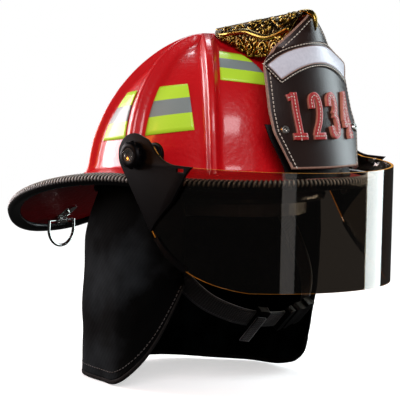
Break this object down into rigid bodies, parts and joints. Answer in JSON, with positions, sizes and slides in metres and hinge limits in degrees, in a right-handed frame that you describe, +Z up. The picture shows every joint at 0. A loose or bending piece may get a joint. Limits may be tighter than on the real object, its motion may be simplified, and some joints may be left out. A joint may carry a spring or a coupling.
{
  "type": "fire helmet",
  "caption": "Traditional fire helmet with a ribbed dome, a long rear brim, a leather front under a cast eagle, a swing-up face shield, an ear flap and a chin strap.",
  "frame": {"origin": "middle of the head opening, level with the brim at the ears", "axes": "+Z up, -Y the way the wearer faces, -X the wearer's right"},
  "size_m": [0.2796, 0.3961, 0.3424],
  "materials": {
    "shell_red": "high gloss",
    "edge_rubber": "pebbled",
    "reflective_tape": "retroreflective",
    "cast_brass": "cast, worn bright on the high spots",
    "screw_steel": "plain",
    "leather_dark": "grained",
    "leather_pale": "smooth",
    "bracket_black": "satin",
    "zinc": "plated",
    "lens_smoke": "smoked, amber at its edges",
    "plate_black": "satin",
    "knob_black": "satin",
    "foam_dark": "foam",
    "rim_black": "gloss",
    "webbing_black": "woven",
    "pad_cloth": "knitted",
    "band_plastic": "satin",
    "brow_leather": "soft",
    "pinion_nylon": "satin",
    "flap_cloth": "woven",
    "binding_tape": "woven",
    "ring_chrome": "polished"
  },
  "bodies": {
    "helmet": {"outer_shell": "shell_red", "edge_beading": "edge_rubber", "reflective_trim": "reflective_tape", "eagle": "cast_brass", "eagle_screws": "screw_steel", "leather_front": "leather_dark", "front_banner": "leather_pale", "front_bracket": "bracket_black", "front_screws": "screw_steel", "pivot_bracket_right": "bracket_black", "pivot_bracket_left": "bracket_black", "pivot_studs": "zinc", "bracket_rivets": "zinc", "friction_washers": "zinc", "impact_cap": "foam_dark", "liner_rim": "rim_black", "crown_straps": "webbing_black", "crown_pad": "pad_cloth", "hanger_keys": "band_plastic", "headband": "band_plastic", "brow_pad": "brow_leather", "nape_pad": "pad_cloth", "ratchet_housing": "band_plastic", "ear_flap": "flap_cloth", "flap_binding": "binding_tape", "flap_snaps": "zinc", "chin_strap": "webbing_black", "chin_tail": "webbing_black", "buckle_socket": "knob_black", "buckle_tongue": "knob_black", "strap_slide": "knob_black", "strap_anchors": "zinc", "ring_clip": "zinc", "ring_rivets": "screw_steel"},
    "visor": {"visor_lens": "lens_smoke", "visor_plate_right": "plate_black", "visor_plate_left": "plate_black", "visor_rivets": "zinc", "lens_clips": "plate_black"},
    "knob_right": {"tension_knob_right": "knob_black", "knob_ring_right": "screw_steel"},
    "knob_left": {"tension_knob_left": "knob_black", "knob_ring_left": "screw_steel"},
    "ratchet": {"ratchet_knob": "knob_black", "ratchet_pinion": "pinion_nylon"},
    "ring": {"hanging_ring": "ring_chrome"}
  },
  "joints": [
    {"name": "visor_swing", "type": "hinge", "parent": "helmet", "child": "visor", "pos_m": [0, -0.04, 0.019], "axis": [-1, 0, 0], "range_deg": [0, 50]},
    {"name": "knob_right_turn", "type": "hinge", "parent": "helmet", "child": "knob_right", "pos_m": [0, -0.04, 0.019], "axis": [-1, 0, 0], "range_deg": [0, 360]},
    {"name": "knob_left_turn", "type": "hinge", "parent": "helmet", "child": "knob_left", "pos_m": [0, -0.04, 0.019], "axis": [1, 0, 0], "range_deg": [0, 360]},
    {"name": "ratchet_turn", "type": "hinge", "parent": "helmet", "child": "ratchet", "pos_m": [0, 0.0822, -0.043], "axis": [0, 1, 0], "range_deg": [-360, 360]},
    {"name": "ring_swing", "type": "hinge", "parent": "helmet", "child": "ring", "pos_m": [0, 0.187, -0.06336], "axis": [1, 0, 0], "range_deg": [-45, 40]}
  ]
}
